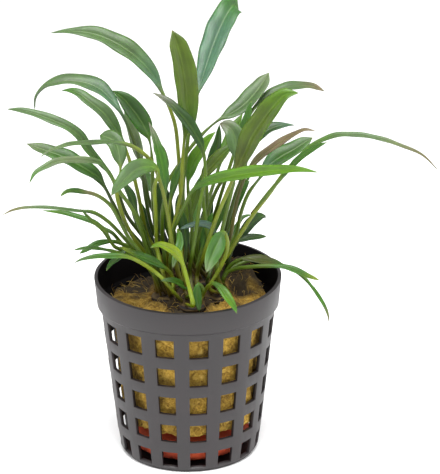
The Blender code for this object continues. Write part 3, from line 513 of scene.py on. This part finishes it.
def make_pot(finish):
    """The tub spun from its profile, its windows and floor slots cut, then given its wall."""
    pot = bmesh.new()
    profile = pot_profile()
    line = [pot.verts.new((0.0, -radius, height)) for radius, height in profile]
    edges = [pot.edges.new(ends) for ends in zip(line, line[1:])]
    angles = column_angles()
    count = len(angles)
    bmesh.ops.spin(pot, geom=line + edges, cent=(0, 0, 0), axis=(0, 0, 1), angle=2 * math.pi,
                   steps=count, use_merge=True)
    for vert in pot.verts:
        turn = round(math.atan2(vert.co.x, -vert.co.y) / (2 * math.pi) * count) % count
        vert.co = around(math.hypot(vert.co.x, vert.co.y), angles[turn], vert.co.z)
    bmesh.ops.holes_fill(pot, edges=[edge for edge in pot.edges if edge.is_boundary
                                     and edge.verts[0].co.z < MM], sides=0)
    bmesh.ops.delete(pot, geom=[face for face in pot.faces if is_open(face)], context="FACES")
    bmesh.ops.recalc_face_normals(pot, faces=pot.faces)
    bmesh.ops.solidify(pot, geom=pot.faces[:], thickness=WALL)
    bmesh.ops.recalc_face_normals(pot, faces=pot.faces)
    slant_collar(pot)
    sharp = [edge for edge in pot.edges if edge.calc_face_angle(0.0) > math.radians(40)]
    bmesh.ops.bevel(pot, geom=sharp, offset=EDGE_ROUNDING, offset_type="OFFSET", segments=2, profile=0.5,
                    affect="EDGES", material=-1, clamp_overlap=True)
    return finish_piece("net_pot", pot, finish, ["pot"])


def make_ring(finish):
    """The clay ring: a section with flattened sides spun round, its skin a little uneven."""
    ring = bmesh.new()
    section = []
    for step in range(CLAY_SIDES):
        angle = 2 * math.pi * step / CLAY_SIDES
        out = math.copysign(abs(math.cos(angle)) ** CLAY_SQUARENESS, math.cos(angle))
        rise = math.copysign(abs(math.sin(angle)) ** CLAY_SQUARENESS, math.sin(angle))
        section.append(ring.verts.new((CLAY_RADIUS + CLAY_HALF_WIDTH * out, 0.0,
                                       CLAY_HEIGHT + CLAY_HALF_HEIGHT * rise)))
    edges = [ring.edges.new(ends) for ends in zip(section, section[1:] + section[:1])]
    bmesh.ops.spin(ring, geom=section + edges, cent=(0, 0, 0), axis=(0, 0, 1), angle=2 * math.pi,
                   steps=CLAY_STEPS, use_merge=True)
    bmesh.ops.recalc_face_normals(ring, faces=ring.faces)
    for vert in ring.verts:
        vert.co -= vert.normal * CLAY_WEAR * (0.5 + noise.fractal(vert.co * 0.5, 1.0, 2.0, 4))
    return finish_piece("terracotta_ring", ring, finish, ["clay_ring"])


def wool_outline(share):
    """Radius and height of the plug's surface, from the middle of its top (0) round to its floor (1)."""
    slope_length = math.hypot(WOOL_TOP - WOOL_FOOT, WOOL_TOP_RADIUS - WOOL_FOOT_RADIUS)
    lengths = (WOOL_TOP_RADIUS, slope_length, WOOL_FOOT_RADIUS)
    at = share * sum(lengths)
    if at < lengths[0]:
        return at, WOOL_TOP
    at -= lengths[0]
    if at < lengths[1]:
        down = at / lengths[1]
        return WOOL_TOP_RADIUS + (WOOL_FOOT_RADIUS - WOOL_TOP_RADIUS) * down, \
            WOOL_TOP + (WOOL_FOOT - WOOL_TOP) * down
    return max(WOOL_FOOT_RADIUS - (at - lengths[1]), 0.0), WOOL_FOOT


def wool_lumps(point):
    """How far the matted surface stands in or out at a point."""
    broad = noise.fractal(point * 0.16, 1.0, 2.0, 3)
    fine = noise.fractal(point * 0.75 + Vector((9.0, 4.0, 2.0)), 0.8, 2.1, 5)
    return 0.75 * broad + 0.42 * fine


def crown_circle(node):
    """A crown's place across and along, and its radius, as the frame has it."""
    low, high = (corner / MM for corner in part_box(node))
    return (low.x + high.x) / 2, (low.y + high.y) / 2, (high.x - low.x) / 2


CROWNS = [crown_circle(node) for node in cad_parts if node.startswith("crown")]


def wool_rise(x, y):
    """How far the top stands above its level: the heap at the right rear, and a lip round each crown."""
    from_heap = math.hypot(x - WOOL_HEAP[0], y - WOOL_HEAP[1]) / WOOL_HEAP_SPREAD
    rise = WOOL_ROLL * math.sin(0.31 * x + 0.6) * math.cos(0.27 * y)
    rise += WOOL_HEAP_HEIGHT * math.exp(-from_heap ** 2)
    for crown_x, crown_y, radius in CROWNS:
        away = math.hypot(x - crown_x, y - crown_y) - radius
        if away > 0.0:
            rise += WOOL_LIP * math.exp(-(away / WOOL_LIP_REACH) ** 2)
    return rise


def wool_darkening(point):
    """Darker near the stems, along the rear and in patches on the top, a little less on the heap, and not
    down its sides.
    """
    near_stems = math.exp(-((point.x - STEM_BASE[0]) ** 2 + (point.y - STEM_BASE[1]) ** 2) / 75.0)
    on_top = min(max((point.z - WOOL_TOP + 2.5) / 2.0, 0.0), 1.0)
    rear = min(max((point.y + 3.0) / 12.0, 0.0), 1.0)
    patch = max(noise.noise(0.17 * point) + 0.1, 0.0)
    heap = math.exp(-((point.x - WOOL_HEAP[0]) ** 2 + (point.y - WOOL_HEAP[1]) ** 2) / 60.0)
    return on_top * min(0.06 + patch + 0.95 * near_stems + 0.8 * rear - 0.2 * heap, 1.0)


def make_wool(finish):
    """The plug: a felted drum with a ragged skin and an uneven top."""
    wool = bmesh.new()
    bmesh.ops.create_uvsphere(wool, u_segments=150, v_segments=120, radius=1.0)
    darker_patches = wool.verts.layers.float.new("darker_patches")
    for vert in wool.verts:
        share = math.acos(max(-1.0, min(1.0, vert.co.z))) / math.pi
        angle = math.atan2(vert.co.x, -vert.co.y)
        radius, height = wool_outline(share)
        vert.co = around(radius, math.degrees(angle), height)
    for _ in range(3):
        bmesh.ops.smooth_vert(wool, verts=wool.verts, factor=0.5, use_axis_x=True, use_axis_y=True,
                              use_axis_z=True)
    bmesh.ops.recalc_face_normals(wool, faces=wool.faces)
    for vert in wool.verts:
        lump = wool_lumps(vert.co)
        vert.co += vert.normal * (lump - 0.25)
        vert.co.x += WOOL_SHIFT
        on_top = min(max((vert.co.z - WOOL_TOP + 3.0) / 3.0, 0.0), 1.0)
        vert.co.z += on_top * wool_rise(vert.co.x, vert.co.y)
        vert[darker_patches] = wool_darkening(vert.co)
    return finish_piece("wool_plug", wool, finish, ["rockwool"])


def strand(built, points, thickness):
    """A three-sided strand through some points, added to a bmesh."""
    rings = []
    for at, point in enumerate(points):
        ahead = (points[min(at + 1, len(points) - 1)] - points[max(at - 1, 0)]).normalized()
        side = ahead.orthogonal().normalized()
        other = ahead.cross(side)
        radius = thickness / 2 * (1.0 if 0 < at < len(points) - 1 else 0.4)
        rings.append([built.verts.new(point + radius * (math.cos(turn) * side + math.sin(turn) * other))
                      for turn in (0.0, 2.1, 4.2)])
    for lower, upper in zip(rings, rings[1:]):
        for corner in range(3):
            beside = (corner + 1) % 3
            built.faces.new((lower[corner], lower[beside], upper[beside], upper[corner]))
    built.faces.new(rings[0][::-1])
    built.faces.new(rings[-1])


def make_fibres(finish):
    """Loose strands that stand off the top of the wool, spread all over it."""
    fibres = bmesh.new()
    for _ in range(FIBRES):
        radius = (WOOL_TOP_RADIUS - 0.4) * random.uniform(0.1, 1.0) ** 0.5
        angle = random.uniform(0, 2 * math.pi)
        x, y = WOOL_SHIFT + radius * math.sin(angle), -radius * math.cos(angle)
        at = Vector((x, y, WOOL_TOP + wool_rise(x, y) - 0.4))
        way = Vector((random.uniform(-1, 1), random.uniform(-1, 1), random.uniform(0.0, 0.7))).normalized()
        points = [at]
        for _ in range(random.randint(4, 7)):
            bend = Vector((random.uniform(-1, 1), random.uniform(-1, 1), random.uniform(-1, 0.6)))
            way = (way + 0.55 * bend).normalized()
            at = at + way * random.uniform(0.4, 0.9)
            if math.hypot(at.x - WOOL_SHIFT, at.y) > WOOL_TOP_RADIUS + 0.6:
                break
            points.append(at)
        if len(points) > 2:
            strand(fibres, points, FIBRE_THICKNESS * random.uniform(0.7, 1.5))
    bmesh.ops.recalc_face_normals(fibres, faces=fibres.faces)
    return finish_piece("loose_wool_strands", fibres, finish, [])


def make_crown(node, finish):
    """A crown: the stub of its solid, ringed and knobbly."""
    low, high = (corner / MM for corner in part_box(node))
    middle = (low + high) / 2
    half = (high - low) / 2
    crown = bmesh.new()
    bmesh.ops.create_uvsphere(crown, u_segments=36, v_segments=20, radius=1.0)
    for vert in crown.verts:
        flat = math.hypot(vert.co.x, vert.co.y)
        swell = (1 - abs(vert.co.z) ** 4) ** 0.25 / flat if flat > 0.001 else 0.0
        rough = 1.0 + 0.08 * noise.fractal(vert.co * 3.0 + middle, 1.0, 2.0, 3)
        vert.co = Vector((vert.co.x * swell * half.x * rough, vert.co.y * swell * half.y * rough,
                          vert.co.z * half.z)) + middle
    bmesh.ops.recalc_face_normals(crown, faces=crown.faces)
    return finish_piece(node + "_stem", crown, finish, [node])


def eye():
    """Place of the camera and its right, up and forward directions."""
    back = Vector((0.0, -math.cos(EYE_PITCH), math.sin(EYE_PITCH)))
    right = Vector((1.0, 0.0, 0.0))
    ahead = -back
    up = right.cross(ahead)
    panned = math.cos(EYE_PAN) * ahead + math.sin(EYE_PAN) * right
    right = math.cos(EYE_PAN) * right - math.sin(EYE_PAN) * ahead
    ahead = math.cos(EYE_TILT) * panned + math.sin(EYE_TILT) * up
    up = math.cos(EYE_TILT) * up - math.sin(EYE_TILT) * panned
    level = math.cos(EYE_ROLL) * right + math.sin(EYE_ROLL) * up
    upright = math.cos(EYE_ROLL) * up - math.sin(EYE_ROLL) * right
    return EYE_TARGET + EYE_DISTANCE * back, level, upright, ahead


def at_pixel(across, down, depth):
    """The place that a pixel of the picture shows, at a depth behind the pot's axis."""
    place, right, up, ahead = eye()
    aside = (across - PICTURE_CENTRE[0]) / EYE_PIXELS
    above = (PICTURE_CENTRE[1] - down) / EYE_PIXELS
    ray = ahead + aside * right + above * up
    return place + ray * ((depth - place.y) / ray.y)


def sprig_rings(sprig):
    """Corners of a small leaf's rings, from the pixels that it passes and their depths."""
    route = np.array([tuple(at_pixel(*stop)) for stop in sprig.route])
    lengths = np.concatenate([[0.0], np.cumsum(np.linalg.norm(np.diff(route, axis=0), axis=1))])
    foot = lengths[sprig.stalk]
    at = np.concatenate([np.linspace(0.0, foot, STALK_RINGS)[:-1],
                         np.linspace(foot, lengths[-1], BLADE_RINGS + 1)])
    line = hermite(lengths, route, at)
    blade = np.clip((at - foot) / (lengths[-1] - foot), 0.0, 1.0)
    shape = blade ** 0.55 * (1 - blade) ** 0.7 / FULLNESS
    stalk = STALK_WIDTH * np.clip(1 - 3 * blade, 0.0, 1.0)
    width = np.maximum(sprig.width * shape, stalk)
    forward = unit(np.gradient(line, axis=0))
    facing = unit(np.array(eye()[0]) - line)
    facing = unit(facing - forward * (facing * forward).sum(axis=1)[:, None])
    level = np.cross(forward, facing)
    if level[:, 2].mean() > 0:
        level = -level
    turn = math.radians(sprig.turn)
    face = math.cos(turn) * facing - math.sin(turn) * level
    side = np.cross(forward, face)
    half = side * width[:, None] / 2
    lift = face * np.maximum(BLADE_THICKNESS, 0.9 * stalk)[:, None] / 2
    sink = face * FOLD / 2 * width[:, None]
    corners = [line + half + sink, line - sink + lift, line - half + sink, line - sink - lift]
    return np.stack(corners, axis=1)[:-1], line[-1]


def by_place(vert):
    """Sorts corners by where they are, so that every run goes round a leaf the same way."""
    return tuple(vert.co)


def near(vert):
    """The corners that share an edge with this one."""
    return {edge.other_vert(vert) for edge in vert.link_edges}


def layers_from(tip):
    """Rings of four corners from a leaf's tip to its foot, or none where this isn't its tip."""
    seen, layer, found = {tip}, [tip], []
    while len(layer) in (1, 4):
        beyond = set().union(*(near(vert) for vert in layer)) - seen
        if not beyond:
            return found
        seen |= beyond
        layer = list(beyond)
        found.append(layer)
    return []


def in_step(ring, layers):
    """The length of the lines along the leaf when its rings follow the first one's order, and the rings."""
    rings = [ring]
    length = 0.0
    for layer in layers[1:]:
        below = []
        for at, vert in enumerate(rings[-1]):
            shared = near(vert) & near(rings[-1][(at + 1) % 4]) & set(layer)
            below.append(min(shared, key=lambda other: (other.co - vert.co).length))
            length += (below[-1].co - vert.co).length
        rings.append(below)
    return length, rings


def leaf_rings(node):
    """Corners of the leaf's solid, ring by ring from its foot to its tip: edge, top, edge, underside."""
    solid = bmesh.new()
    solid.from_mesh(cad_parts[node].data)
    bmesh.ops.scale(solid, vec=(1 / MM, 1 / MM, 1 / MM), verts=solid.verts)
    bmesh.ops.remove_doubles(solid, verts=solid.verts, dist=0.002)
    tip, layers = next((vert, found) for vert in solid.verts if len(vert.link_edges) == 4
                       for found in [layers_from(vert)] if len(found) > 3)
    order = [min(layers[0], key=by_place)]
    while len(order) < 4:
        order.append(min((near(order[-1]) & set(layers[0])) - set(order), key=by_place))
    rings = min((in_step(way, layers) for way in (order, order[::-1])), key=lambda result: result[0])[1]
    corners = np.array([[tuple(vert.co) for vert in ring] for ring in rings[::-1]])
    tip_place = np.array(tuple(tip.co))
    solid.free()
    across = np.linalg.norm(corners[:, 0] - corners[:, 2], axis=1)
    if across.max() < np.linalg.norm(corners[:, 1] - corners[:, 3], axis=1).max():
        corners = np.roll(corners, 1, axis=1)
    return corners, tip_place


def hermite(places, values, wanted):
    """A smooth curve through values at places, read at the wanted places."""
    slopes = np.gradient(values, places, axis=0)
    index = np.clip(np.searchsorted(places, wanted, side="right") - 1, 0, len(places) - 2)
    span = places[index + 1] - places[index]
    t = (wanted - places[index]) / span
    if values.ndim > 1:
        t, span = t[:, None], span[:, None]
    return ((2 * t ** 3 - 3 * t ** 2 + 1) * values[index] + (t ** 3 - 2 * t ** 2 + t) * span * slopes[index]
            + (3 * t ** 2 - 2 * t ** 3) * values[index + 1] + (t ** 3 - t ** 2) * span * slopes[index + 1])


def unit(vectors):
    """The vectors at a length of one."""
    return vectors / np.linalg.norm(vectors, axis=-1, keepdims=True)


# Where the columns of a leaf's skin lie across it, closer together at the midrib
SHARES = (-1.0, -0.82, -0.52, -0.26, -0.1, 0.0, 0.1, 0.26, 0.52, 0.82, 1.0)
AROUND = [(share, 1) for share in SHARES] + [(share, -1) for share in SHARES[-2:0:-1]]


def leaf_surface(corners, tip, rng):
    """Points of the leaf's skin, station by station from foot to tip, and their places along it."""
    middles = np.concatenate([corners.mean(axis=1), tip[None]])
    sides = corners[:, 0] - corners[:, 2]
    widths = np.append(np.linalg.norm(sides, axis=1), 0.0)
    fold_way = (corners[:, 0] + corners[:, 2] - corners[:, 1] - corners[:, 3]) / 2
    depths = np.append(np.linalg.norm(corners[:, 1] - corners[:, 3], axis=1), BLADE_THICKNESS)
    sides = np.concatenate([unit(sides), unit(sides[-1:])])
    faces = np.cross(sides[:-1], unit(middles[1:] - middles[:-1]))
    faces *= np.sign((faces * fold_way).sum(axis=1))[:, None]
    faces = unit(np.concatenate([faces, faces[-1:]]))
    lengths = np.concatenate([[0.0], np.cumsum(np.linalg.norm(np.diff(middles, axis=0), axis=1))])
    blade_foot = lengths[-1 - BLADE_RINGS]
    stations = max(int(lengths[-1] / STATION_SPACING), 24)
    at = lengths[-1] * np.linspace(0.0, 1.0, stations)
    middle = hermite(lengths, middles, at)
    side = unit(hermite(lengths, sides, at))
    face = unit(hermite(lengths, faces, at))
    ahead = unit(np.gradient(middle, axis=0))
    side = unit(side - ahead * (side * ahead).sum(axis=1)[:, None])
    face = face - ahead * (face * ahead).sum(axis=1)[:, None]
    face = unit(face - side * (face * side).sum(axis=1)[:, None])
    width = np.interp(at, lengths, widths) * 0.4 + np.clip(hermite(lengths, widths, at), 0.0, None) * 0.6
    depth = np.interp(at, lengths, depths)
    blade = np.clip((at - blade_foot) / FLATTENING, 0.0, 1.0)
    blade = blade ** 2 * (3 - 2 * blade)
    along = np.where(at > blade_foot, (at - blade_foot) / (lengths[-1] - blade_foot), at / blade_foot - 1)
    widest = widths.max()
    wave_length = rng.uniform(*WAVE_LENGTHS)
    phases = rng.uniform(0, 2 * math.pi, 2)
    fading = np.sin(np.clip(along, 0.0, 1.0) * math.pi)
    points = []
    for share, upper in AROUND:
        sheet = width * (FOLD * (abs(share) - 0.5) + BOW * math.sin(math.pi * abs(share)))
        phase = phases[0] if share > 0 else phases[1]
        wave = WAVE * widest * share ** 2 * np.sin(2 * math.pi * at / wave_length + phase) * fading
        groove = -GROOVE * math.exp(-(share / 0.1) ** 2) * (1.15 - np.clip(along, 0, 1))
        thin = EDGE_THICKNESS + (BLADE_THICKNESS - EDGE_THICKNESS) * math.sqrt(max(1 - abs(share), 0.0))
        rib = RIB * math.exp(-(share / 0.16) ** 2) * np.clip(1 - along, 0, 1) ** 1.5 if upper < 0 else 0.0
        flat = sheet + wave + groove + upper * (thin / 2 + rib)
        round_ = upper * depth / 2 * math.sqrt(max(1 - share ** 2, 0.0))
        rise = blade * flat + (1 - blade) * round_
        points.append(middle + side * (share * width / 2)[:, None] + face * rise[:, None])
    return np.stack(points, axis=1), along, widest


def blend(first, second, amount):
    """A colour part of the way from the first to the second."""
    return tuple(a + (b - a) * amount for a, b in zip(first, second))


def tint_at(look, along, upper, shift):
    """Colour of a leaf at a place along it, from the stalk's foot (-1) to the tip (1)."""
    stalk, foot, middle, tip, under = (linear(PALETTE[name]) for name in look)
    if along < 0:
        colour = blend(stalk, linear(FOOT_BROWN), 0.75 * min(max((-along - 0.72) / 0.28, 0.0), 1.0))
        return blend(colour, foot, min(max((along + 0.12) / 0.12, 0.0), 1.0) * 0.5)
    turn = min(along / (0.42 + shift), 1.0)
    colour = blend(blend(stalk, foot, min(along / 0.08, 1.0) * 0.5 + 0.5), middle, turn)
    colour = blend(colour, tip, min(max((along - 0.6) / 0.35, 0.0), 1.0))
    dry = min(max((along - 0.965) / 0.03, 0.0), 1.0)
    colour = blend(colour, linear(PALETTE["dry"]), 0.6 * dry)
    return blend(colour, under, 0.75 * (1 - upper))


def make_leaf(name, number, corners, tip, look, nodes, finish):
    """A leaf grown as one piece: round stalk, folded blade with a midrib, soft waves in its edge."""
    rng = np.random.default_rng(SEED + number)
    points, along, widest = leaf_surface(corners, tip, rng)
    shift = rng.uniform(-0.08, 0.08)
    stations, columns = points.shape[:2]
    leaf = bmesh.new()
    bmesh.ops.create_grid(leaf, x_segments=columns, y_segments=stations - 1, size=1.0)
    tint = leaf.verts.layers.float_color.new("tint")
    vein = leaf.verts.layers.float.new("vein")
    way = leaf.verts.layers.float.new("along")
    seed = leaf.verts.layers.float.new("number")
    for vert in leaf.verts:
        column = round((vert.co.x + 1) / 2 * columns) % columns
        station = round((vert.co.y + 1) / 2 * (stations - 1))
        share, upper = AROUND[column]
        vert.co = points[station, column]
        if station == stations - 1:
            vert.co = tip
        vert[vein] = share * widest / 2
        vert[way] = along[station]
        vert[seed] = number * 3.7
        side = 0.5 if abs(share) == 1 else (upper + 1) / 2
        vert[tint] = tint_at(look, along[station], side, shift)
    bmesh.ops.remove_doubles(leaf, verts=leaf.verts, dist=0.0005)
    bmesh.ops.holes_fill(leaf, edges=[edge for edge in leaf.edges if edge.is_boundary], sides=0)
    bmesh.ops.recalc_face_normals(leaf, faces=leaf.faces)
    return finish_piece(name, leaf, finish, nodes)


def make_camera():
    """Camera at the photograph's angle."""
    place, level, upright, ahead = eye()
    camera = bpy.data.objects.new("camera", bpy.data.cameras.new("camera"))
    camera.data.lens = LENS
    camera.data.sensor_width = SENSOR
    camera.data.clip_start = 0.01
    axes = Matrix((level, upright, -ahead)).transposed().to_4x4()
    camera.matrix_world = Matrix.Translation(place * MM) @ axes
    bpy.context.scene.collection.objects.link(camera)
    bpy.context.scene.camera = camera


def softbox(name, place, size, power):
    """A square diffused lamp, turned to the plant."""
    lamp = bpy.data.lights.new(name, "AREA")
    lamp.size = size
    lamp.energy = power
    lit = bpy.data.objects.new(name, lamp)
    lit.location = place
    lit.rotation_euler = (LAMP_AIM - Vector(place)).to_track_quat("-Z", "Y").to_euler()
    bpy.context.scene.collection.objects.link(lit)


def make_studio():
    """White floor and sky: light from everywhere, stronger from above and from both sides."""
    scene = bpy.context.scene
    scene.view_settings.view_transform = "Standard"
    world = bpy.data.worlds.new("studio")
    scene.world = world
    world.use_nodes = True
    sky = world.node_tree.nodes["Background"]
    sky.inputs["Strength"].default_value = SKY_STRENGTH
    sky.inputs["Color"].default_value = (1, 1, 1, 1)
    for lamp in LAMPS:
        softbox(*lamp)
    floor = bmesh.new()
    bmesh.ops.create_grid(floor, x_segments=1, y_segments=1, size=FLOOR_SIZE)
    mesh = bpy.data.meshes.new("floor")
    floor.to_mesh(mesh)
    floor.free()
    paint, _, shader = new_material("white_card")
    shader.inputs["Base Color"].default_value = FLOOR_WHITE
    shader.inputs["Roughness"].default_value = 0.9
    mesh.materials.append(paint)
    sweep = bpy.data.objects.new("floor", mesh)
    bpy.context.scene.collection.objects.link(sweep)


def main():
    """Makes every piece in turn, then the camera and the studio."""
    random.seed(SEED)
    noise.seed_set(SEED)
    make_pot(pot_plastic())
    make_ring(fired_clay())
    make_wool(mineral_wool())
    make_fibres(loose_fibres())
    skin = crown_skin()
    tissue = leaf_tissue()
    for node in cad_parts:
        if node.startswith("crown"):
            make_crown(node, skin)
        if node.startswith("leaf"):
            number = int(node[-2:])
            corners, tip = leaf_rings(node)
            look = LOOKS.get(number, PLAIN)
            make_leaf(f"leaf_blade_{number:02d}", number, corners, tip, look, [node], tissue)
    for number, sprig in enumerate(SPRIGS, start=1):
        corners, tip = sprig_rings(sprig)
        make_leaf(f"small_leaf_{number:02d}", 100 + number, corners, tip, sprig.look, [], tissue)
    make_camera()
    make_studio()


main()
